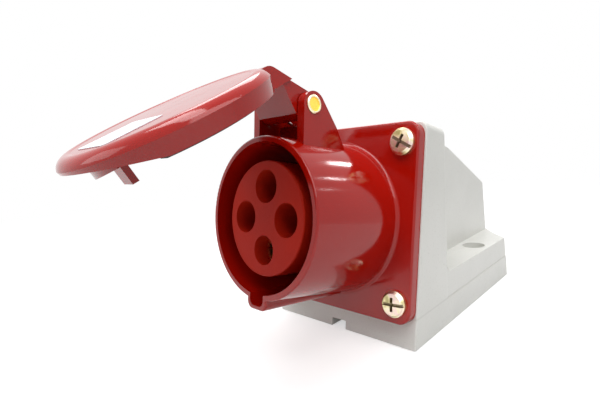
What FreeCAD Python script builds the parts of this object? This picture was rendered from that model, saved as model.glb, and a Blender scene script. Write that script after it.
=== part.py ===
# Industrial surface socket, 16 A, three poles and earth, with a sprung lid.
# Millimetres. +Z points away from the wall, the socket opening faces -Y, and the
# cable enters from +Y. The origin is on the wall face, midway between the two fixing holes.
import FreeCAD
import Part
import math
import os

V = FreeCAD.Vector

# Overall layout
fixing_to_flange = 72.4
flange_centre_height = 47.2
front_tilt = 9.5
rear_slope = 9.5

# Plug shroud and flange, measured along the socket axis from the flange front face
flange_half_width = 37.5
flange_half_height = 37.4
flange_thickness = 4.4
flange_corner = 5.0
rim_level = 38.7
shroud_rim_radius = 28.0
shroud_root_radius = 30.0
shroud_bore = 26.0
gap_floor = 9.0
seat_level = 3.0
keyway_half_width = 3.6
keyway_depth_radius = 29.9
keyway_corner = 2.2
rib_half_width = 5.2
rib_radius = 31.3
rib_corner = 2.8

# Hinge
ear_inner = 10.3
ear_outer = 13.5
pin_height = 38.95
pin_level = 28.4
ear_tip = (pin_height - 0.25, pin_level - 0.5)
ear_tip_radius = 4.7
ear_foot_height = 24.0
ear_front_level = 32.2
ear_rear = (32.5, 16.2)
ear_rear_foot = (26.4, 12.3)
pin_radius = 2.0
pin_hole_clearance = 0.05
knuckle_clearance = 0.1
open_angle = 53.4

# Lid, drawn closed
lid_top_level = 45.7
lid_crown_radius = 24.7
lid_radius = 29.5
lid_shoulder = 2.2
lid_foot_radius = 28.7
lid_foot_level = 39.3
finger_lift_start = -16.0
finger_lift_height = 3.7
finger_lift_margin = 0.5
lid_plate = 2.2
lid_skirt_wall = 1.6
lid_holder_outer = 24.2
lid_holder_inner = 22.8
lid_holder_level = 40.6
lid_gasket_outer = 26.9
lid_gasket_inner = 24.3
lid_gasket_level = 38.8
neck_half_width = 11.0
neck_foot_level = 38.2
neck_top_drop = 0.8
neck_root = 24.0
rim_clearance = 0.4
neck_crest_round = 4.0
arm_half_width = 9.9
arm_face = pin_height - 5.65
arm_heel = (pin_height - 2.95, pin_level - 4.0)
arm_skin = 4.9
arm_slope = 47.5
pocket_half_width = 7.4
pocket_reach = 3.5
pocket_top = 36.4
lip_half_width = 9.5
lip_outer = 24.0
lip_inner = 21.9
lip_left_level = 37.4
lip_right_level = 40.0
tab_x = (5.4, 10.6)
tab_u = (-21.7, -20.0)
tab_level = 35.6
label_x = (-6.8, 11.3)
label_u = (-22.1, -6.5)
label_thickness = 0.15
label_corner = 1.0

# Closing spring, wound on the hinge pin
spring_wire = 0.45
spring_coil = 2.75
spring_pitch = 1.4
spring_whole_turns = 4
spring_leg_drop = 15.0
spring_rest_leg = 7.2
spring_lid_leg = 6.5
spring_rest_level = 23.0
spring_stop_level = 20.95
spring_stop_height = 37.4
pocket_face = pin_height - spring_coil - spring_wire

# Screws
flange_screw_x = flange_half_width - 6.5
flange_screw_u = flange_half_height - 7.6
flange_screw_radius = 2.5
flange_head_radius = 5.0
flange_head_height = 2.6
flange_screw_length = 15.0
flange_screw_clearance = 0.3
flange_boss_radius = 4.8
flange_boss_depth = 18.0
flange_boss_hole_depth = 16.5
retainer_screw_ring = 23.1
retainer_screw_start = 45.0
retainer_screw_count = 3
retainer_screw_radius = 1.5
retainer_head_radius = 2.7
retainer_head_height = 1.8
retainer_screw_clearance = 0.1
fit_gap = 0.05

# Flange gasket, pressed in a groove in the back of the flange
gasket_outer = 33.5
gasket_inner = 31.3
gasket_height = 2.0
gasket_groove_clearance = 0.1

# Contact carrier
insert_radius = 19.9
insert_recess = 2.25
insert_level = rim_level - insert_recess
insert_base_radius = 25.9
insert_base_level = -6.0
contact_ring = 10.99
phase_hole = 5.75
earth_hole = 5.15
phase_mouth_level = 24.0
earth_mouth_level = 31.5
phase_sleeve = 4.0
earth_sleeve = 5.0
phase_bore = 2.55
earth_bore = 3.55
contact_collar = 6.0
collar_thickness = 1.6
sleeve_depth = 20.0
slit_depth = 14.0
terminal_rear = -24.0
terminal_radius = 4.9
terminal_screw_level = -19.5
terminal_screw_radius = 1.75
wire_hole = 2.1
wire_hole_depth = 9.0
retainer_radius = 25.5
retainer_thickness = 3.0

# Back box
upper_half_width = 37.95
base_outset = 0.25
box_half_width = upper_half_width + base_outset
mould_line = 11.6
ledge_height = 22.4
block_rear = 26.2
block_top = 38.0
head_round = 3.4
front_round = 0.7
box_wall = 2.6
front_wall = 4.0
front_opening = 30.5
floor_underside = 3.5
floor_top = 6.0
rear_end = 120.1
hump_tail_round = 1.5
shoulder_start = 99.3
shoulder_middle = (29.0, 108.2)
box_front_reach = 30.0
hump_start = 20.0
hump_root_half_width = 23.4
hump_tail_half_width = 19.65
hump_crest = [(20.0, 84.1), (66.4, 72.4), (106.0, 54.9), (125.0, 46.5)]
fixing_x = 29.4
fixing_recess = 5.75
fixing_recess_depth = 4.0
fixing_hole = 2.75
fixing_sleeve = 6.9
drain_half_width = 3.85
underside_margin = 3.0
underside_front = 3.2

# Cable gland
gland_height = 27.5
gland_boss = 15.5
gland_face = 119.0
gland_seat = 111.5
gland_thread = 10.0
gland_thread_clearance = 0.1
gland_thread_start = 104.0
gland_bore = 6.5
gland_flats = 24.0
gland_collar = 5.0
gland_neck = 9.0
gland_neck_length = 7.0
seal_radius = 7.6
seal_bore = 4.0
seal_length = 8.2
nut_flats = 24.0
nut_length = 6.5
nut_dome = 4.4
nut_mouth = 6.0
locknut_flats = 25.0
locknut_thickness = 5.0


def to_row(shape):
    moved = shape.copy()
    moved.translate(V(0, -fixing_to_flange, 0))
    return moved


def on_socket_axis(shape):
    # Local x, y, z are across, up the flange and out along the socket axis.
    moved = shape.copy()
    moved.rotate(V(0, 0, 0), V(1, 0, 0), 90.0 - front_tilt)
    moved.translate(V(0, 0, flange_centre_height))
    return moved


def opened(shape):
    moved = shape.copy()
    moved.rotate(V(0, pin_height, pin_level), V(1, 0, 0), -open_angle)
    return moved


def disc(radius, low, high, x=0.0, y=0.0):
    return Part.makeCylinder(radius, high - low, V(x, y, low), V(0, 0, 1))


def ring(outer, inner, low, high, x=0.0, y=0.0):
    return disc(outer, low, high, x, y).cut(disc(inner, low - 1.0, high + 1.0, x, y))


def block(x0, x1, y0, y1, z0, z1):
    return Part.makeBox(x1 - x0, y1 - y0, z1 - z0, V(x0, y0, z0))


def across(points, half_width):
    # A side outline given as (y, z), drawn through the full width.
    outline = Part.makePolygon([V(-half_width, y, z) for y, z in points + points[:1]])
    return Part.Face(outline).extrude(V(2.0 * half_width, 0, 0))


def across_rod(radius, x0, x1, y, z):
    return Part.makeCylinder(radius, x1 - x0, V(x0, y, z), V(1, 0, 0))


def edges_where(shape, test):
    return [edge for edge in shape.Edges if test(edge)]


def along(edge, axis):
    if edge.Curve.TypeId != "Part::GeomLine":
        return False
    return abs(abs(edge.Curve.Direction.dot(axis)) - 1.0) < 1e-4


def spun(points, axis_point, axis):
    return Part.Face(Part.makePolygon(points + points[:1])).revolve(axis_point, axis, 360)


def hexagon(across_flats, low, high, centre, axis):
    radius = across_flats / math.sqrt(3.0)
    side = V(0, 0, 1)
    other = axis.cross(side)
    corners = []
    for step in range(7):
        turn = math.radians(60.0 * step)
        spoke = side * (radius * math.cos(turn)) + other * (radius * math.sin(turn))
        corners.append(centre + axis * low + spoke)
    return Part.Face(Part.makePolygon(corners)).extrude(axis * (high - low))


def pan_screw(shank, length, head, height, drive):
    # Head seated on z = 0, shank running down, slotted and cross-recessed.
    dome = 0.55 * height
    shank_edge = [V(0, 0, -length), V(shank - 0.5, 0, -length), V(shank, 0, 0.5 - length), V(shank, 0, 0)]
    head_edge = [V(head, 0, 0), V(head, 0, height - dome), V(0.8 * head, 0, height - 0.15 * dome),
                 V(0, 0, height)]
    body = spun(shank_edge + head_edge, V(0, 0, 0), V(0, 0, 1))
    slot = block(-head, head, -0.12 * head, 0.12 * head, height - 0.9 * drive, height + 1.0)
    cross = block(-0.12 * head, 0.12 * head, -0.52 * head, 0.52 * head, height - 1.2 * drive, height + 1.0)
    return body.cut(slot.fuse(cross))


def shroud():
    # Outer cone on the square flange, with the keyway rib underneath.
    plate = block(-flange_half_width, flange_half_width, -flange_half_height, flange_half_height,
                  -flange_thickness, 0)
    plate = plate.makeFillet(flange_corner, edges_where(plate, lambda e: along(e, V(0, 0, 1))))
    front_rim = [e for e in plate.Edges if e.BoundBox.ZMin > -0.01]
    plate = plate.makeFillet(0.8, front_rim)
    cone = Part.makeCone(shroud_root_radius, shroud_rim_radius, rim_level)
    rib = block(-rib_half_width, rib_half_width, -rib_radius, -20.0, -0.5, rim_level)
    lower = edges_where(rib, lambda e: along(e, V(0, 0, 1)) and e.BoundBox.YMax < -25.0)
    rib = rib.makeFillet(rib_corner, lower)
    body = cone.fuse(rib).removeSplitter()
    mouth = [e for e in body.Edges if e.BoundBox.ZMin > rim_level - 0.01]
    body = body.makeFillet(0.7, mouth)
    root = disc(shroud_root_radius + 1.6, 0, 1.6)
    ring_cut = Part.makeTorus(shroud_root_radius + 1.6, 1.6, V(0, 0, 1.6))
    root = root.cut(ring_cut)
    return plate.fuse([root, body])


def ear(side):
    foot = [(ear_foot_height, ear_rear_foot[1] - 0.3), (ear_foot_height, ear_front_level)]
    tip_u, tip_level = ear_tip
    back = [(tip_u + 0.65 * ear_tip_radius, tip_level - 0.76 * ear_tip_radius), ear_rear, ear_rear_foot]
    front = [(tip_u, tip_level + ear_tip_radius)]
    inner = ear_inner if side > 0 else -ear_outer
    outline = [V(inner, u, n) for u, n in foot + front + [ear_tip] + back]
    width = ear_outer - ear_inner
    gusset = Part.Face(Part.makePolygon(outline + outline[:1])).extrude(V(width, 0, 0))
    tip = across_rod(ear_tip_radius, inner, inner + width, tip_u, tip_level)
    return gusset.fuse(tip).removeSplitter()


def spring_leg_height(level):
    # Height of the spring's resting leg above the socket axis at a level along it.
    drop = math.radians(spring_leg_drop)
    return pin_height - spring_coil / math.cos(drop) - (pin_level - level) * math.tan(drop)


def spring_rest():
    # Web between the ears: its front slopes to match the spring's leg, its rear stands up behind it.
    under = spring_wire / math.cos(math.radians(spring_leg_drop))
    front = spring_rest_level
    stop = spring_stop_level
    rear = [(ear_rear[0] - 0.1, ear_rear[1] + 0.1), (spring_stop_height, stop - 0.35),
            (spring_stop_height - 0.3, stop)]
    rest = [(spring_leg_height(stop) - under, stop), (spring_leg_height(front) - under, front)]
    return across([(shroud_bore, ear_rear_foot[1])] + rear + rest + [(shroud_bore, front + 0.8)],
                  ear_inner + 0.5)


def front_housing():
    body = shroud().fuse([ear(1), ear(-1), spring_rest()])
    body = body.cut(disc(shroud_bore, gap_floor, rim_level + 1.0))
    body = body.cut(disc(insert_radius + 0.4, seat_level - 1.0, gap_floor + 1.0))
    body = body.cut(disc(shroud_bore, -flange_thickness - 1.0, seat_level))
    keyway = block(-keyway_half_width, keyway_half_width, -keyway_depth_radius, -shroud_bore + 2.0,
                   gap_floor, rim_level + 1.0)
    lower = edges_where(keyway, lambda e: along(e, V(0, 0, 1)) and e.BoundBox.YMax < -25.0)
    keyway = keyway.makeFillet(keyway_corner, lower)
    body = body.cut(keyway)
    body = body.cut(across_rod(pin_radius + pin_hole_clearance, -20.0, 20.0, pin_height, pin_level))
    groove = ring(gasket_outer + gasket_groove_clearance, gasket_inner - gasket_groove_clearance,
                  -flange_thickness - 1.0, -flange_thickness + gasket_height)
    body = body.cut(groove)
    for x, u in flange_screw_places():
        body = body.cut(disc(flange_screw_radius + flange_screw_clearance, -10.0, 5.0, x, u))
    for x, u in retainer_screw_places():
        body = body.cut(disc(retainer_screw_radius, -1.0, gap_floor - 1.5, x, u))
    return body.removeSplitter()


def retainer_screw_places():
    places = []
    for step in range(retainer_screw_count):
        turn = math.radians(retainer_screw_start + 360.0 * step / retainer_screw_count)
        places.append((retainer_screw_ring * math.cos(turn), retainer_screw_ring * math.sin(turn)))
    return places


def flange_screw_places():
    return [(-flange_screw_x, flange_screw_u), (flange_screw_x, flange_screw_u),
            (-flange_screw_x, -flange_screw_u), (flange_screw_x, -flange_screw_u)]


def lid_profile():
    # Half section of the dished cover, from the flat top over the shoulder to the skirt foot.
    under_level = lid_top_level - lid_plate
    inner_radius = lid_foot_radius - lid_skirt_wall
    crown = V(lid_crown_radius, 0, lid_top_level)
    reach = lid_radius - lid_crown_radius
    shoulder_mid = V(lid_crown_radius + 0.74 * reach, 0, lid_top_level - 0.28 * lid_shoulder)
    shoulder_end = V(lid_radius, 0, lid_top_level - lid_shoulder)
    top = Part.makeLine(V(0, 0, lid_top_level), crown)
    shoulder = Part.Arc(crown, shoulder_mid, shoulder_end).toShape()
    side = Part.makePolygon([shoulder_end, V(lid_foot_radius, 0, lid_foot_level),
                             V(inner_radius, 0, lid_foot_level), V(inner_radius, 0, under_level),
                             V(0, 0, under_level), V(0, 0, lid_top_level)])
    return Part.Face(Part.Wire([top, shoulder] + side.Edges))


def finger_lift(margin):
    # The skirt foot rises toward the free end so that a finger can lift the cover.
    end = -lid_radius - 1.0
    low = lid_foot_level + margin
    below = lid_foot_level - 1.0
    return across([(finger_lift_start, low), (end, low + finger_lift_height), (end, below),
                   (finger_lift_start, below)], lid_radius + 1.0)


def slope_point(reach, level):
    # The arm's outer slope, a line at the given reach from the pin, met at a level.
    turn = math.radians(arm_slope)
    travel = (level - pin_level - reach * math.cos(turn)) / math.sin(turn)
    return (pin_height + reach * math.sin(turn) - travel * math.cos(turn), level)


def slope_foot(reach):
    turn = math.radians(arm_slope)
    return (pin_height + reach * math.sin(turn), pin_level + reach * math.cos(turn))


def lid():
    cover = lid_profile().revolve(V(0, 0, 0), V(0, 0, 1), 360).cut(finger_lift(0.0))
    under_level = lid_top_level - lid_plate
    holder = ring(lid_holder_outer, lid_holder_inner, lid_holder_level, under_level + 0.5)
    neck_top = lid_top_level - neck_top_drop
    neck = across([(neck_root, neck_foot_level), slope_point(arm_skin + 0.2, neck_foot_level),
                   slope_point(arm_skin + 0.2, neck_top), (neck_root, neck_top)], neck_half_width)
    crest = edges_where(neck, lambda e: along(e, V(1, 0, 0)) and e.BoundBox.ZMin > neck_top - 0.1
                        and e.BoundBox.YMin > neck_root + 1.0)
    neck = neck.makeFillet(neck_crest_round, crest)
    neck = neck.cut(disc(lid_foot_radius - lid_skirt_wall, rim_level - 5.0, under_level))
    neck = neck.cut(disc(shroud_rim_radius + rim_clearance, rim_level - 5.0, lid_foot_level))
    arm_top = neck_foot_level + 1.0
    arm = across([(arm_face, pin_level - 0.3), (arm_face, arm_top), slope_point(arm_skin, arm_top),
                  slope_foot(arm_skin), (pin_height, pin_level), arm_heel], arm_half_width)
    knuckle = across_rod(arm_skin, -arm_half_width, arm_half_width, pin_height, pin_level)
    body = cover.fuse([neck, arm, knuckle, holder])
    pocket = across([(pocket_face, 18.0), (pocket_face, pocket_top), slope_point(pocket_reach, pocket_top),
                     slope_foot(pocket_reach), (pin_height + pocket_reach, pin_level),
                     (pin_height + pocket_reach, 18.0)], pocket_half_width)
    body = body.cut(pocket)
    body = body.cut(across_rod(pin_radius + knuckle_clearance, -20.0, 20.0, pin_height, pin_level))
    return body.fuse([lid_lip(under_level + 0.5), lid_tab(under_level + 0.5)]).removeSplitter()


def lid_lip(top):
    # Short curved lug under the free end, its foot raked, entering the gap round the insert.
    lip = ring(lip_outer, lip_inner, lip_left_level - 0.4, top)
    raked = Part.makePolygon([V(-lip_half_width, -30.0, lip_left_level),
                              V(lip_half_width, -30.0, lip_right_level),
                              V(lip_half_width, -30.0, top + 1.0), V(-lip_half_width, -30.0, top + 1.0),
                              V(-lip_half_width, -30.0, lip_left_level)])
    return lip.common(Part.Face(raked).extrude(V(0, 15.0, 0)))


def lid_tab(top):
    return block(tab_x[0], tab_x[1], tab_u[0], tab_u[1], tab_level, top)


def lid_gasket():
    # Kept behind the skirt where the finger lift raises its foot.
    soft = ring(lid_gasket_outer, lid_gasket_inner, lid_gasket_level, lid_top_level - lid_plate)
    return soft.cut(finger_lift(finger_lift_margin))


def lid_label():
    sticker = block(label_x[0], label_x[1], label_u[0], label_u[1],
                    lid_top_level, lid_top_level + label_thickness)
    return sticker.makeFillet(label_corner, edges_where(sticker, lambda e: along(e, V(0, 0, 1))))


def hinge_pin():
    # Rivet: domed head on the left ear, a rolled ring round a flat sunk centre on the right ear.
    reach = ear_outer + 0.02
    r = pin_radius
    head = [(-reach - 1.1, 0), (-reach - 1.0, 1.3), (-reach - 0.5, 2.6), (-reach, 3.1), (-reach, r)]
    rolled = [(reach, r), (reach, 3.1), (reach + 0.35, 3.1), (reach + 0.6, 2.7), (reach + 0.5, 2.3),
              (reach + 0.15, 2.1), (reach + 0.15, 0)]
    outline = [V(x, pin_height + y, pin_level) for x, y in head + rolled]
    return spun(outline, V(0, pin_height, pin_level), V(1, 0, 0))


def lid_spring():
    # Closing spring: one leg bears inside the lid arm, the other lies on the web between the ears.
    turns = spring_whole_turns + (open_angle - spring_leg_drop) / 360.0
    length = spring_pitch * turns
    lead = math.atan2(spring_pitch, 2.0 * math.pi * spring_coil)
    flat = math.cos(lead)
    rise = math.sin(lead)
    helix = Part.makeHelix(spring_pitch, length, spring_coil, 0, True)
    start = V(spring_coil, 0, 0)
    turn = math.radians(-360.0 * turns)
    finish = V(spring_coil * math.cos(turn), spring_coil * math.sin(turn), length)
    rest_end = start + V(0, flat, -rise) * spring_rest_leg
    lid_end = finish + V(flat * math.sin(turn), -flat * math.cos(turn), rise) * spring_lid_leg
    bent = Part.Wire([Part.makeLine(rest_end, start)] + helix.Edges + [Part.makeLine(finish, lid_end)])
    section = Part.Wire(Part.makeCircle(spring_wire, rest_end, V(0, -flat, rise)))
    body = bent.makePipeShell([section], True, True)
    body.translate(V(0, 0, -length / 2.0))
    body.rotate(V(0, 0, 0), V(0, 0, 1), 270.0 - spring_leg_drop)
    body.rotate(V(0, 0, 0), V(0, 1, 0), 90)
    body.translate(V(0, pin_height, pin_level))
    return body


def flange_gasket():
    return ring(gasket_outer, gasket_inner, -flange_thickness, -flange_thickness + gasket_height)


def contact_places():
    # North, west and east are the three phases; the earth sits over the keyway.
    return {"l1": (-contact_ring, 0.0), "l2": (0.0, contact_ring), "l3": (contact_ring, 0.0),
            "earth": (0.0, -contact_ring)}


def contact_insert():
    body = disc(insert_radius, seat_level - 1.0, insert_level)
    body = body.makeFillet(0.5, [e for e in body.Edges if e.BoundBox.ZMin > insert_level - 0.01])
    body = body.fuse(disc(insert_base_radius, insert_base_level, seat_level))
    for name, (x, u) in contact_places().items():
        earth = name == "earth"
        hole = earth_hole if earth else phase_hole
        sleeve = earth_sleeve if earth else phase_sleeve
        mouth = earth_mouth_level if earth else phase_mouth_level
        body = body.cut(disc(hole, mouth, insert_level + 1.0, x, u))
        below = insert_base_level - 1.0
        body = body.cut(disc(sleeve + fit_gap, below, mouth + 1.0, x, u))
        body = body.cut(disc(contact_collar + fit_gap, below, insert_base_level + collar_thickness, x, u))
    for x, u in retainer_screw_places():
        hole = retainer_screw_radius + retainer_screw_clearance
        body = body.cut(disc(hole, insert_base_level - 1.0, seat_level + 1.0, x, u))
    return body


def contact(name):
    # Slotted pin sleeve, a collar trapped under the retainer and a round terminal with a side screw.
    x, u = contact_places()[name]
    earth = name == "earth"
    sleeve = earth_sleeve if earth else phase_sleeve
    bore = earth_bore if earth else phase_bore
    mouth = (earth_mouth_level if earth else phase_mouth_level) - 0.3
    collar_low = insert_base_level
    body = disc(sleeve, terminal_rear, mouth)
    body = body.makeChamfer(0.4, [e for e in body.Edges if e.BoundBox.ZMin > mouth - 0.01])
    body = body.fuse(disc(contact_collar, collar_low, collar_low + collar_thickness))
    body = body.fuse(disc(terminal_radius, terminal_rear, insert_base_level - retainer_thickness - 0.1))
    body = body.cut(disc(bore, mouth - sleeve_depth, mouth + 1.0))
    slit_foot = mouth - slit_depth
    body = body.cut(block(-10.0, 10.0, -0.4, 0.4, slit_foot, mouth + 1.0))
    body = body.cut(block(-0.4, 0.4, -10.0, 10.0, slit_foot, mouth + 1.0))
    body = body.cut(disc(wire_hole, terminal_rear - 1.0, terminal_rear + wire_hole_depth))
    outward = V(x, u, 0).normalize()
    screw_hole = Part.makeCylinder(terminal_screw_radius, 8.0, V(0, 0, terminal_screw_level), outward)
    body = body.cut(screw_hole)
    body.translate(V(x, u, 0))
    return body


def terminal_screws():
    screws = []
    for x, u in contact_places().values():
        outward = V(x, u, 0).normalize()
        length = terminal_radius + 0.6 - wire_hole + 0.3
        start = V(x, u, terminal_screw_level) + outward * (wire_hole - 0.3)
        screw = Part.makeCylinder(terminal_screw_radius - fit_gap, length, start, outward)
        slot = block(-4.0, 4.0, -0.35, 0.35, -0.8, 0.1)
        slot = slot.transformGeometry(frame_at(start + outward * length, outward))
        screws.append(screw.cut(slot))
    return Part.makeCompound(screws)


def frame_at(origin, normal):
    side = normal.cross(V(0, 0, 1)).normalize()
    up = normal.cross(side)
    return FreeCAD.Matrix(side.x, up.x, normal.x, origin.x, side.y, up.y, normal.y, origin.y,
                          side.z, up.z, normal.z, origin.z, 0, 0, 0, 1)


def contact_retainer():
    top = insert_base_level
    body = disc(retainer_radius, top - retainer_thickness, top)
    for name, (x, u) in contact_places().items():
        sleeve = earth_sleeve if name == "earth" else phase_sleeve
        body = body.cut(disc(sleeve + fit_gap, top - retainer_thickness - 1.0, top + 1.0, x, u))
    for x, u in retainer_screw_places():
        hole = retainer_screw_radius + retainer_screw_clearance
        body = body.cut(disc(hole, top - retainer_thickness - 1.0, top + 1.0, x, u))
    return body


def retainer_screws():
    seat = insert_base_level - retainer_thickness
    reach = gap_floor - 2.0 - seat
    screws = []
    for x, u in retainer_screw_places():
        screw = pan_screw(retainer_screw_radius - fit_gap, reach, retainer_head_radius,
                          retainer_head_height, 1.0)
        screw.rotate(V(0, 0, 0), V(1, 0, 0), 180)
        screw.translate(V(x, u, seat))
        screws.append(screw)
    return Part.makeCompound(screws)


def flange_screws():
    screws = []
    for (x, u), turned in zip(flange_screw_places(), (20.0, -28.0, 65.0, 3.0)):
        screw = pan_screw(flange_screw_radius - fit_gap, flange_screw_length, flange_head_radius,
                          flange_head_height, 1.5)
        screw.rotate(V(0, 0, 0), V(0, 0, 1), turned)
        screw.translate(V(x, u, 0))
        screws.append(screw)
    return Part.makeCompound(screws)


def leaning(plan, height, foot=0.0):
    # Plan outline at the wall face, drawn up while leaning forward with the rear slope.
    lean = math.tan(math.radians(rear_slope))
    solid = Part.Face(plan).extrude(V(0, -lean * height, height))
    if foot:
        wide = box_half_width + 20.0
        solid = solid.common(block(-wide, wide, -box_front_reach - 30.0, rear_end + 40.0, foot, height))
    return solid


def base_plan(half_width, inset):
    # Straight sides, then a hollow-curved shoulder narrowing to the hump's end wall.
    tail = hump_tail_half_width - inset
    end = rear_end - inset
    shoulder = shoulder_start - 0.6 * inset
    middle = (shoulder_middle[0] - 0.8 * inset, shoulder_middle[1] - 0.8 * inset)
    front = -box_front_reach
    right = Part.Arc(V(half_width, shoulder, 0), V(middle[0], middle[1], 0), V(tail, end, 0)).toShape()
    left = Part.Arc(V(-tail, end, 0), V(-middle[0], middle[1], 0), V(-half_width, shoulder, 0)).toShape()
    back = Part.makeLine(V(tail, end, 0), V(-tail, end, 0))
    left_side = Part.makeLine(V(-half_width, shoulder, 0), V(-half_width, front, 0))
    face_line = Part.makeLine(V(-half_width, front, 0), V(half_width, front, 0))
    right_side = Part.makeLine(V(half_width, front, 0), V(half_width, shoulder, 0))
    return Part.Wire([right, back, left, left_side, face_line, right_side])


def hump(inset):
    root = hump_root_half_width - inset
    tail = hump_tail_half_width - inset
    end = rear_end - inset
    start = hump_start
    plan = Part.makePolygon([V(root, start, 0), V(tail, end, 0), V(-tail, end, 0), V(-root, start, 0),
                             V(root, start, 0)])
    solid = leaning(plan, hump_crest[0][1] + 6.0)
    crest = [(y, z - inset) for y, z in hump_crest]
    far = rear_end + 40.0
    under_crest = across([(0.0, crest[0][1])] + crest + [(far, crest[3][1]), (far, -1.0), (0.0, -1.0)],
                         root + 20.0)
    return solid.common(under_crest)


def behind_front(shape, level):
    cutter = on_socket_axis(block(-80.0, 80.0, -120.0, 120.0, level, 120.0))
    return shape.cut(cutter)


def block_roof():
    return flange_centre_height + block_top + 10.0


def above_head(level):
    wide = box_half_width + 40.0
    return on_socket_axis(block(-wide, wide, level, level + 80.0, -120.0, 120.0))


def outer_box():
    head = block(-box_half_width, box_half_width, -box_front_reach, block_rear, 0.0, block_roof())
    head = head.cut(above_head(block_top))
    rounded = [e for e in head.Edges if e.BoundBox.YMax > block_rear - 0.1
               and e.BoundBox.ZMax > block_roof() - 35.0]
    head = head.makeFillet(head_round, rounded)
    lower = leaning(base_plan(box_half_width, -base_outset), mould_line)
    upper = leaning(base_plan(upper_half_width, 0.0), ledge_height, mould_line)
    body = head.fuse([lower, upper, hump(0.0)]).removeSplitter()
    root = [e for e in body.Edges if is_root_edge(e)]
    body = body.makeFillet(3.0, root)
    return body.makeFillet(hump_tail_round, edges_where(body, is_tail_edge))


def is_root_edge(edge):
    # The two edges where the ledges run into the rear of the head.
    box = edge.BoundBox
    on_ledge = abs(box.ZMin - ledge_height) < 0.05 and abs(box.ZMax - ledge_height) < 0.05
    return on_ledge and abs(box.YMin - block_rear) < 0.05 and abs(box.YMax - block_rear) < 0.05


def is_tail_edge(edge):
    # The hump's end: its upper edge and the two upright edges above the ledges.
    box = edge.BoundBox
    above = box.ZMin > ledge_height - 0.1 and box.ZMax < 60.0
    return above and box.YMin > 105.0


def is_front_upright(edge):
    # The two side edges of the sloping front face.
    box = edge.BoundBox
    at_side = abs(abs(box.XMin + box.XMax) / 2.0 - box_half_width) < 0.05
    return at_side and box.YMin < 0.0 and box.ZMax > block_top and box.ZMax - box.ZMin > block_top


def inner_box():
    half_width = box_half_width - box_wall
    head = block(-half_width, half_width, -box_front_reach, block_rear - box_wall, floor_top, block_roof())
    head = head.cut(above_head(block_top - box_wall))
    ledges = leaning(base_plan(half_width, box_wall), ledge_height - box_wall, floor_top)
    room = hump(box_wall).cut(block(-half_width, half_width, -1.0, rear_end + 1.0, -1.0, floor_top))
    return behind_front(head.fuse([ledges, room]), -flange_thickness - front_wall)


def back_box():
    body = behind_front(outer_box(), -flange_thickness)
    body = body.makeFillet(front_round, edges_where(body, is_front_upright))
    body = body.cut(inner_box())
    underside = leaning(base_plan(box_half_width - underside_margin, underside_margin), floor_underside)
    wide = box_half_width + 20.0
    underside = underside.cut(block(-wide, wide, -wide, underside_front, -1.0, floor_underside + 1.0))
    body = body.cut(underside)
    body = body.cut(block(-drain_half_width, drain_half_width, -20.0, 10.0, -1.0, floor_underside))
    for x in (-fixing_x, fixing_x):
        body = body.fuse(disc(fixing_sleeve, 0.0, ledge_height - 1.0, x, fixing_to_flange))
    body = body.fuse(gland_rod(gland_boss, 105.0, gland_face))
    body = body.cut(gland_rod(gland_boss - 0.01, 100.0, gland_seat))
    boss_top = -flange_thickness - front_wall + 1.0
    bosses = [disc(flange_boss_radius, -flange_boss_depth, boss_top, x, u) for x, u in flange_screw_places()]
    body = body.fuse([on_socket_axis(b) for b in bosses])
    for x, u in flange_screw_places():
        body = body.cut(on_socket_axis(disc(flange_screw_radius, -flange_boss_hole_depth, 0.0, x, u)))
    for x in (-fixing_x, fixing_x):
        body = body.cut(disc(fixing_hole, -1.0, ledge_height + 1.0, x, fixing_to_flange))
        body = body.cut(disc(fixing_recess, ledge_height - fixing_recess_depth, ledge_height + 1.0,
                             x, fixing_to_flange))
    body = body.cut(on_socket_axis(disc(front_opening, -12.0, 0.0)))
    body = body.cut(gland_rod(gland_thread + gland_thread_clearance, 95.0, 135.0))
    return body.removeSplitter()


def gland_rod(radius, start, end):
    return Part.makeCylinder(radius, end - start, V(0, start, gland_height), V(0, 1, 0))


def gland_hexagon(across_flats, start, end):
    return hexagon(across_flats, start, end, V(0, 0, gland_height), V(0, 1, 0))


def gland_body():
    collar_end = gland_face + gland_collar
    body = gland_rod(gland_thread, gland_thread_start, gland_face)
    body = body.fuse(gland_hexagon(gland_flats, gland_face, collar_end))
    body = body.fuse(gland_rod(gland_neck, collar_end, collar_end + gland_neck_length))
    body = body.cut(gland_rod(gland_bore, 90.0, 150.0))
    return body.cut(gland_rod(seal_radius, collar_end - 1.0, 150.0))


def gland_seal():
    start = gland_face + gland_collar - 1.0
    body = gland_rod(seal_radius - fit_gap, start, start + seal_length)
    return body.cut(gland_rod(seal_bore, start - 1.0, start + seal_length + 1.0))


def gland_nut():
    start = gland_face + gland_collar + 0.1
    end = start + nut_length
    body = gland_hexagon(nut_flats, start, end)
    dome = Part.makeCone(11.6, 8.0, nut_dome, V(0, end, gland_height), V(0, 1, 0))
    body = body.fuse(dome)
    body = body.cut(gland_rod(gland_neck + fit_gap, start - 1.0, start + gland_neck_length + 0.1))
    return body.cut(gland_rod(nut_mouth, start, end + nut_dome + 1.0))


def gland_locknut():
    body = gland_hexagon(locknut_flats, gland_seat - locknut_thickness, gland_seat)
    return body.cut(gland_rod(gland_thread + fit_gap, 95.0, 125.0))


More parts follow.
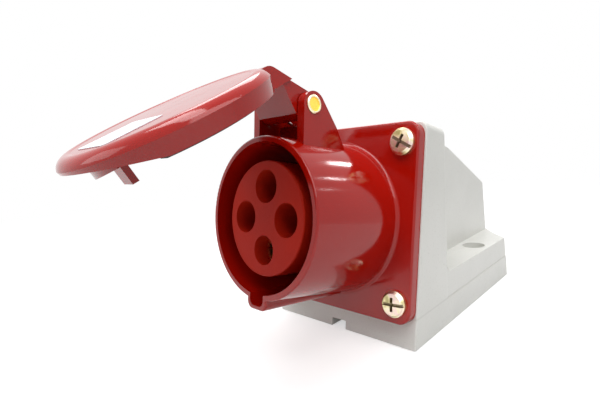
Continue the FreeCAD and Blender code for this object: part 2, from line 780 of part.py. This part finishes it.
parts = {}
parts["back_box"] = back_box()
parts["front_housing"] = on_socket_axis(front_housing())
parts["flange_gasket"] = on_socket_axis(flange_gasket())
parts["flange_screws"] = on_socket_axis(flange_screws())
parts["lid"] = on_socket_axis(opened(lid()))
parts["lid_gasket"] = on_socket_axis(opened(lid_gasket()))
parts["lid_label"] = on_socket_axis(opened(lid_label()))
parts["hinge_pin"] = on_socket_axis(hinge_pin())
parts["lid_spring"] = on_socket_axis(lid_spring())
parts["contact_insert"] = on_socket_axis(contact_insert())
parts["contact_l1"] = on_socket_axis(contact("l1"))
parts["contact_l2"] = on_socket_axis(contact("l2"))
parts["contact_l3"] = on_socket_axis(contact("l3"))
parts["contact_earth"] = on_socket_axis(contact("earth"))
parts["terminal_screws"] = on_socket_axis(terminal_screws())
parts["contact_retainer"] = on_socket_axis(contact_retainer())
parts["retainer_screws"] = on_socket_axis(retainer_screws())
parts["gland_body"] = gland_body()
parts["gland_seal"] = gland_seal()
parts["gland_nut"] = gland_nut()
parts["gland_locknut"] = gland_locknut()

os.makedirs("parts", exist_ok=True)
for name, shape in parts.items():
    to_row(shape).exportStep("parts/" + name + ".step")
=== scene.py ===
import math

import bpy
from mathutils import Matrix, Vector

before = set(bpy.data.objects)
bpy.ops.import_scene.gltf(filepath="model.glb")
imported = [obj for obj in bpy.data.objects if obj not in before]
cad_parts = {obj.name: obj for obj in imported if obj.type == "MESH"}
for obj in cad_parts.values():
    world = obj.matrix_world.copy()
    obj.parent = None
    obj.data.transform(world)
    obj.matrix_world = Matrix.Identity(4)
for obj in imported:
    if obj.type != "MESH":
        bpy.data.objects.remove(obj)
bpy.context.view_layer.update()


# Back box.
# The one-piece wall box is moulded in a pale warm grey plastic with a soft gloss. It is screwed
# to the wall through its two ledges, and a fine mould line runs round it above the wall.

class Signal:
    """A socket's value in a material, so that shading sums are written as plain expressions."""

    def __init__(self, socket):
        self.socket = socket

    def add(self, kind, settings, inputs, output=0):
        tree = self.socket.id_data
        node = tree.nodes.new(kind)
        for name, value in settings.items():
            if name == "stops":
                band = node.color_ramp
                while len(band.elements) < len(value):
                    band.elements.new(0.5)
                for element, (place, colour) in zip(band.elements, value):
                    element.position = place
                    element.color = colour
            else:
                setattr(node, name, value)
        for name, value in inputs.items():
            if isinstance(value, Signal):
                tree.links.new(value.socket, node.inputs[name])
            else:
                node.inputs[name].default_value = value
        return Signal(node.outputs[output])

    def sum_with(self, operation, first, second):
        return self.add("ShaderNodeMath", {"operation": operation}, {0: first, 1: second})

    def __add__(self, other):
        return self.sum_with("ADD", self, other)

    def __sub__(self, other):
        return self.sum_with("SUBTRACT", self, other)

    def __mul__(self, other):
        return self.sum_with("MULTIPLY", self, other)


def start_finish(name, **constants):
    """A new material; returns it with its surface shader and the position on the object."""
    finish = bpy.data.materials.new(name)
    finish.use_nodes = True
    surface = finish.node_tree.nodes["Principled BSDF"]
    for socket, value in constants.items():
        surface.inputs[socket.replace("_", " ")].default_value = value
    place = Signal(finish.node_tree.nodes.new("ShaderNodeTexCoord").outputs["Object"])
    return finish, surface, place


def cloud(place, scale, detail=2.0):
    return place.add("ShaderNodeTexNoise", {}, {"Vector": place, "Scale": scale, "Detail": detail})


def tint(amount, first, second):
    return amount.add("ShaderNodeMix", {"data_type": "RGBA"}, {0: amount, 6: first, 7: second}, 2)


def relief(height, strength, distance):
    return height.add("ShaderNodeBump", {},
                      {"Height": height, "Strength": strength, "Distance": distance})


def clamped(signal, low, high, to_low, to_high):
    return signal.add("ShaderNodeMapRange", {"clamp": True},
                      {0: signal, 1: low, 2: high, 3: to_low, 4: to_high})


def feed(surface, **signals):
    for socket, signal in signals.items():
        surface.id_data.links.new(signal.socket, surface.inputs[socket.replace("_", " ")])


def dress(finish, *nodes):
    for name in nodes:
        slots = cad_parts[name].data.materials
        slots.clear()
        slots.append(finish)


box_finish, box_surface, box_place = start_finish("pale_box_plastic", Specular_IOR_Level=0.35)
box_height = box_place.add("ShaderNodeSeparateXYZ", {}, {"Vector": box_place}, 2)
box_haze = clamped(cloud(box_place, 26.0, 3.0), 0.35, 0.65, 0.0, 1.0)
box_speck = clamped(cloud(box_place, 1400.0, 1.0), 0.62, 0.74, 0.0, 1.0)
mould_line_height = 0.0116
seam_distance = box_height.add("ShaderNodeMath", {"operation": "ABSOLUTE"},
                               {0: box_height - mould_line_height})
seam = clamped(seam_distance, 0.0001, 0.0006, 1.0, 0.0)
box_colour = tint(box_haze, (0.642, 0.640, 0.606, 1.0), (0.688, 0.684, 0.652, 1.0))
box_colour = tint(box_speck * 0.35, box_colour, (0.52, 0.51, 0.47, 1.0))
box_colour = tint(seam * 0.30, box_colour, (0.42, 0.41, 0.38, 1.0))
feed(box_surface, Base_Color=box_colour,
     Roughness=clamped(cloud(box_place, 300.0, 3.0), 0.3, 0.7, 0.30, 0.42),
     Normal=relief(cloud(box_place, 650.0, 2.0), 0.06, 0.0004))
dress(box_finish, "back_box")


# Front housing and lid.
# Flange, round shroud, keyway rib and hinge ears are one glossy red moulding; the lid is a second
# one of the same plastic. Four screws hold the flange on the box, and a rivet holds the lid.

red_finish, red_surface, red_place = start_finish("gloss_red_plastic", Specular_IOR_Level=0.42)
red_flow = clamped(cloud(red_place, 34.0, 3.0), 0.3, 0.7, 0.0, 1.0)
red_colour = tint(red_flow, (0.315, 0.0036, 0.0007, 1.0), (0.365, 0.0048, 0.0011, 1.0))
red_dust = clamped(cloud(red_place, 2600.0, 1.0), 0.70, 0.80, 0.0, 1.0)
red_colour = tint(red_dust * 0.15, red_colour, (0.60, 0.16, 0.12, 1.0))
feed(red_surface, Base_Color=red_colour,
     Roughness=clamped(cloud(red_place, 120.0, 3.0), 0.3, 0.7, 0.07, 0.14),
     Normal=relief(cloud(red_place, 160.0, 2.0) + cloud(red_place, 900.0, 1.0) * 0.12,
                   0.045, 0.0006))
dress(red_finish, "front_housing", "lid")


# Contact insert and retainer.
# The insert is a solid moulding in a duller, browner red with a fine grain; it is held from behind
# by a dark retainer plate with three small screws.

insert_finish, insert_surface, insert_place = start_finish(
    "dull_red_insert", Specular_IOR_Level=0.12)
insert_flow = clamped(cloud(insert_place, 60.0, 3.0), 0.3, 0.7, 0.0, 1.0)
insert_grain = clamped(cloud(insert_place, 1800.0, 1.0), 0.4, 0.6, 0.0, 1.0)
insert_colour = tint(insert_flow, (0.350, 0.0090, 0.0020, 1.0), (0.410, 0.0130, 0.0030, 1.0))
insert_colour = tint(insert_grain * 0.18, insert_colour, (0.42, 0.024, 0.010, 1.0))
feed(insert_surface, Base_Color=insert_colour,
     Roughness=clamped(insert_flow, 0.0, 1.0, 0.40, 0.50),
     Normal=relief(cloud(insert_place, 1500.0, 2.0), 0.16, 0.0003))
dress(insert_finish, "contact_insert")

retainer_finish, retainer_surface, retainer_place = start_finish("dark_retainer_plastic")
retainer_colour = tint(cloud(retainer_place, 90.0, 3.0),
                       (0.020, 0.020, 0.022, 1.0), (0.045, 0.044, 0.046, 1.0))
feed(retainer_surface, Base_Color=retainer_colour,
     Roughness=clamped(cloud(retainer_place, 500.0), 0.3, 0.7, 0.45, 0.60),
     Normal=relief(cloud(retainer_place, 1200.0), 0.15, 0.0003))
dress(retainer_finish, "contact_retainer")


# Pin sleeves.
# Turned brass sleeves with spring slits take the plug's pins; each ends behind in a round
# terminal with a side screw. They are trapped between the insert and the retainer.

brass_finish, brass_surface, brass_place = start_finish("turned_brass", Metallic=1.0)
brass_marks = clamped(cloud(brass_place, 900.0, 3.0), 0.3, 0.7, 0.0, 1.0)
brass_stain = clamped(cloud(brass_place, 140.0, 3.0), 0.35, 0.75, 0.0, 1.0)
brass_colour = tint(brass_marks, (0.62, 0.42, 0.16, 1.0), (0.78, 0.58, 0.26, 1.0))
brass_colour = tint(brass_stain * 0.4, brass_colour, (0.40, 0.25, 0.10, 1.0))
feed(brass_surface, Base_Color=brass_colour, Roughness=clamped(brass_stain, 0.0, 1.0, 0.22, 0.40),
     Normal=relief(brass_marks, 0.08, 0.0002))
dress(brass_finish, "contact_l1", "contact_l2", "contact_l3", "contact_earth")


# Flange screws.
# Four M5 pan heads with a slot across a cross recess hold the flange. They are steel, zinc
# plated and passivated in yellow, rose and greenish stains, and the shade in their recesses is
# painted into the colour.

zinc_finish, zinc_surface, zinc_place = start_finish("yellow_zinc_plate", Metallic=1.0)
zinc_stain = cloud(zinc_place, 210.0, 3.0)
zinc_colour = zinc_stain.add("ShaderNodeValToRGB", {"stops": [
    (0.34, (0.40, 0.36, 0.16, 1.0)), (0.44, (0.70, 0.62, 0.34, 1.0)),
    (0.52, (0.86, 0.78, 0.56, 1.0)),
    (0.60, (0.82, 0.62, 0.58, 1.0)), (0.70, (0.72, 0.74, 0.50, 1.0))]}, {"Fac": zinc_stain})
socket_axis = (0.0, -0.986286, 0.165048)
screw_side = 0.0310
upper_screw, lower_screw = (-0.06906, 0.07686), (-0.07890, 0.01807)
recess_floor_level, head_face_level = 0.0805, 0.0814
screw_top = 0.0
for side in (-screw_side, screw_side):
    for back, rise in (upper_screw, lower_screw):
        reach = zinc_place.add("ShaderNodeVectorMath", {"operation": "DISTANCE"},
                               {0: zinc_place, 1: (side, back, rise)}, 1)
        screw_top = clamped(reach, 0.0042, 0.0047, 1.0, 0.0) + screw_top
screw_level = zinc_place.add("ShaderNodeVectorMath", {"operation": "DOT_PRODUCT"},
                             {0: zinc_place, 1: socket_axis}, 1)
# Painted shade: the colour is darkened inside each head's cross recess, between the recess floor
# and the head face, where shade falls.
painted_recess_shade = clamped(screw_level, recess_floor_level, head_face_level, 1.0, 0.0) * screw_top
zinc_colour = tint(painted_recess_shade * 0.85, zinc_colour, (0.13, 0.10, 0.06, 1.0))
zinc_marks = cloud(zinc_place, 2400.0, 2.0)
feed(zinc_surface, Base_Color=zinc_colour, Roughness=clamped(zinc_marks, 0.3, 0.7, 0.30, 0.42),
     Normal=relief(zinc_marks, 0.10, 0.0002))
dress(zinc_finish, "flange_screws")


# Hinge rivet.
# A bright brass rivet through both ears and the lid's knuckle: a domed head on one side, and on
# the other a pale rolled ring round a flat sunk centre that has kept its deeper yellow.

rivet_finish, rivet_surface, rivet_place = start_finish("bright_brass", Metallic=1.0)
rivet_marks = clamped(cloud(rivet_place, 700.0, 2.0), 0.3, 0.7, 0.0, 1.0)
rivet_middle = (0.01365, -0.09398, 0.09030)
rivet_reach = rivet_place.add("ShaderNodeVectorMath", {"operation": "DISTANCE"},
                              {0: rivet_place, 1: rivet_middle}, 1)
rivet_centre = clamped(rivet_reach, 0.0022, 0.0024, 1.0, 0.0)
rivet_colour = tint(rivet_marks, (0.78, 0.70, 0.46, 1.0), (0.90, 0.83, 0.60, 1.0))
rivet_colour = tint(rivet_centre, rivet_colour, (1.00, 0.72, 0.14, 1.0))
feed(rivet_surface, Base_Color=rivet_colour,
     Roughness=clamped(rivet_marks, 0.0, 1.0, 0.28, 0.36) + rivet_centre * 0.34,
     Normal=relief(rivet_marks, 0.10, 0.0002))
dress(rivet_finish, "hinge_pin")


# Small steel parts.
# The closing spring, the terminal screws and the retainer's screws are bright drawn or plated
# steel with fine marks.

steel_finish, steel_surface, steel_place = start_finish("bright_steel", Metallic=1.0)
steel_marks = clamped(cloud(steel_place, 1500.0, 3.0), 0.3, 0.7, 0.0, 1.0)
feed(steel_surface, Base_Color=tint(steel_marks, (0.50, 0.50, 0.50, 1.0), (0.66, 0.66, 0.65, 1.0)),
     Roughness=clamped(steel_marks, 0.0, 1.0, 0.22, 0.36), Normal=relief(steel_marks, 0.06, 0.0002))
dress(steel_finish, "lid_spring", "terminal_screws", "retainer_screws")


# Gaskets and cable seal.
# The ring in the lid, the cord ring behind the flange and the gland's seal are soft black rubber
# with a bloom of dust.

rubber_finish, rubber_surface, rubber_place = start_finish("black_rubber", Specular_IOR_Level=0.30)
rubber_bloom = clamped(cloud(rubber_place, 110.0, 4.0), 0.35, 0.75, 0.0, 1.0)
rubber_colour = tint(rubber_bloom, (0.016, 0.016, 0.017, 1.0), (0.050, 0.049, 0.047, 1.0))
feed(rubber_surface, Base_Color=rubber_colour,
     Roughness=clamped(rubber_bloom, 0.0, 1.0, 0.55, 0.75),
     Normal=relief(cloud(rubber_place, 1600.0), 0.12, 0.0003))
dress(rubber_finish, "lid_gasket", "flange_gasket", "gland_seal")


# Lid label.
# A plain pale sticker with rounded corners, stuck on the lid's flat top and left blank.

label_finish, label_surface, label_place = start_finish("plain_pale_label", Specular_IOR_Level=0.40)
label_fibre = clamped(cloud(label_place, 420.0, 3.0), 0.3, 0.7, 0.0, 1.0)
feed(label_surface, Base_Color=tint(label_fibre, (0.66, 0.70, 0.75, 1.0), (0.73, 0.77, 0.82, 1.0)),
     Roughness=clamped(label_fibre, 0.0, 1.0, 0.28, 0.40), Normal=relief(label_fibre, 0.04, 0.0002))
dress(label_finish, "lid_label")


# Cable gland.
# A common nylon gland in mid grey: threaded body, pressure nut and an inner locknut.

gland_finish, gland_surface, gland_place = start_finish("grey_gland_nylon", Specular_IOR_Level=0.40)
gland_haze = clamped(cloud(gland_place, 80.0, 3.0), 0.3, 0.7, 0.0, 1.0)
feed(gland_surface, Base_Color=tint(gland_haze, (0.42, 0.43, 0.42, 1.0), (0.50, 0.51, 0.50, 1.0)),
     Roughness=clamped(gland_haze, 0.0, 1.0, 0.38, 0.50),
     Normal=relief(cloud(gland_place, 900.0), 0.10, 0.0003))
dress(gland_finish, "gland_body", "gland_nut", "gland_locknut")


# Floor, surround and lamps.
# A plain white sheet that fades into an even white surround, which reflections see as well, and
# a ceiling lamp with smaller lamps round it.

bpy.ops.object.select_all(action="DESELECT")
bpy.ops.mesh.primitive_plane_add(size=8.0, location=(0.0, 0.0, -0.0003))
floor = bpy.context.object
floor.name = "floor_sheet"
floor_finish, floor_surface, floor_place = start_finish(
    "white_sheet", Roughness=0.9, Specular_IOR_Level=0.0, Emission_Strength=1.0)
floor_rays = floor_finish.node_tree.nodes.new("ShaderNodeLightPath").outputs
floor_seen = Signal(floor_rays["Is Camera Ray"]) + Signal(floor_rays["Is Glossy Ray"])
floor_seen = floor_seen + Signal(floor_rays["Is Transmission Ray"])
floor_middle = (0.0, -0.05, 0.0)
floor_reach = floor_place.add("ShaderNodeVectorMath", {"operation": "DISTANCE"},
                              {0: floor_place, 1: floor_middle}, 1)
floor_fade = clamped(floor_reach, 0.16, 0.70, 0.0, 1.0)
floor_glow = tint(floor_fade, (0.55, 0.55, 0.55, 1.0), (1.0, 1.0, 1.0, 1.0))
feed(floor_surface, Base_Color=tint(floor_fade, (0.55, 0.55, 0.55, 1.0), (0.0, 0.0, 0.0, 1.0)),
     Emission_Color=tint(floor_seen, (0.0, 0.0, 0.0, 1.0), floor_glow))
floor.data.materials.append(floor_finish)

room = bpy.data.worlds.new("white_room")
bpy.context.scene.world = room
room.use_nodes = True
sky = room.node_tree.nodes["Background"]
rays = room.node_tree.nodes.new("ShaderNodeLightPath").outputs
seen = Signal(rays["Is Camera Ray"]) + Signal(rays["Is Glossy Ray"])
seen = seen + Signal(rays["Is Transmission Ray"])
light_strength, seen_strength = 0.36, 1.0
sky_strength = clamped(seen, 0.0, 1.0, light_strength, seen_strength)
sky.inputs["Color"].default_value = (1.0, 1.0, 1.0, 1.0)
room.node_tree.links.new(sky_strength.socket, sky.inputs["Strength"])


def lamp(name, bearing, height_angle, distance, width, height, power, in_reflections=True):
    """A rectangular lamp, seen from the shroud at a bearing from -Y towards +X and a height."""
    side = math.radians(bearing)
    rise = math.radians(height_angle)
    middle = Vector((0.01, -0.09, 0.05))
    outward = Vector((math.sin(side) * math.cos(rise), -math.cos(side) * math.cos(rise),
                      math.sin(rise)))
    light = bpy.data.lights.new(name, "AREA")
    light.shape = "RECTANGLE"
    light.size = width
    light.size_y = height
    light.energy = power
    holder = bpy.data.objects.new(name, light)
    holder.location = middle + outward * distance
    holder.rotation_euler = (-outward).to_track_quat("-Z", "Y").to_euler()
    holder.visible_glossy = in_reflections
    bpy.context.scene.collection.objects.link(holder)


lamp("ceiling_lamp", -6.0, 69.0, 0.90, 0.90, 0.28, 5.0)
lamp("fill_lamp", -60.0, 78.0, 1.10, 0.90, 0.90, 4.5, in_reflections=False)
lamp("right_lamp", 82.0, 48.0, 1.00, 0.80, 0.60, 4.8)
lamp("rear_lamp", 179.0, 37.0, 1.10, 0.100, 0.095, 0.70)
lamp("rear_right_lamp", 154.0, 33.0, 1.20, 0.042, 0.060, 0.20)
lamp("low_right_lamp", 142.0, 25.0, 1.30, 0.026, 0.045, 0.05)
lamp("left_lamp", -113.0, 50.0, 1.00, 0.50, 0.40, 2.4)
lamp("front_left_lamp", -28.0, 23.0, 1.10, 0.60, 0.45, 1.6)


# Camera.
# It stands close in front, to the right of the shroud and slightly above it, looking down by
# about ten degrees; the shift stands for the photograph's off-centre crop.

eye = bpy.data.cameras.new("photo_camera")
eye.sensor_width = 36.0
eye.lens = 22.552
eye.shift_x = -0.1054
eye.shift_y = 0.0188
eye.clip_start = 0.005
eye.clip_end = 50.0
camera = bpy.data.objects.new("photo_camera", eye)
camera_bearing, camera_dip, camera_roll = 39.04, 9.64, -3.29
camera_place = (0.10639, -0.18595, 0.07294)
turned = (Matrix.Rotation(math.radians(camera_bearing), 4, "Z")
          @ Matrix.Rotation(math.radians(90.0 - camera_dip), 4, "X")
          @ Matrix.Rotation(math.radians(camera_roll), 4, "Z"))
camera.matrix_world = Matrix.Translation(camera_place) @ turned
bpy.context.scene.collection.objects.link(camera)
bpy.context.scene.camera = camera
bpy.context.scene.view_settings.view_transform = "Standard"
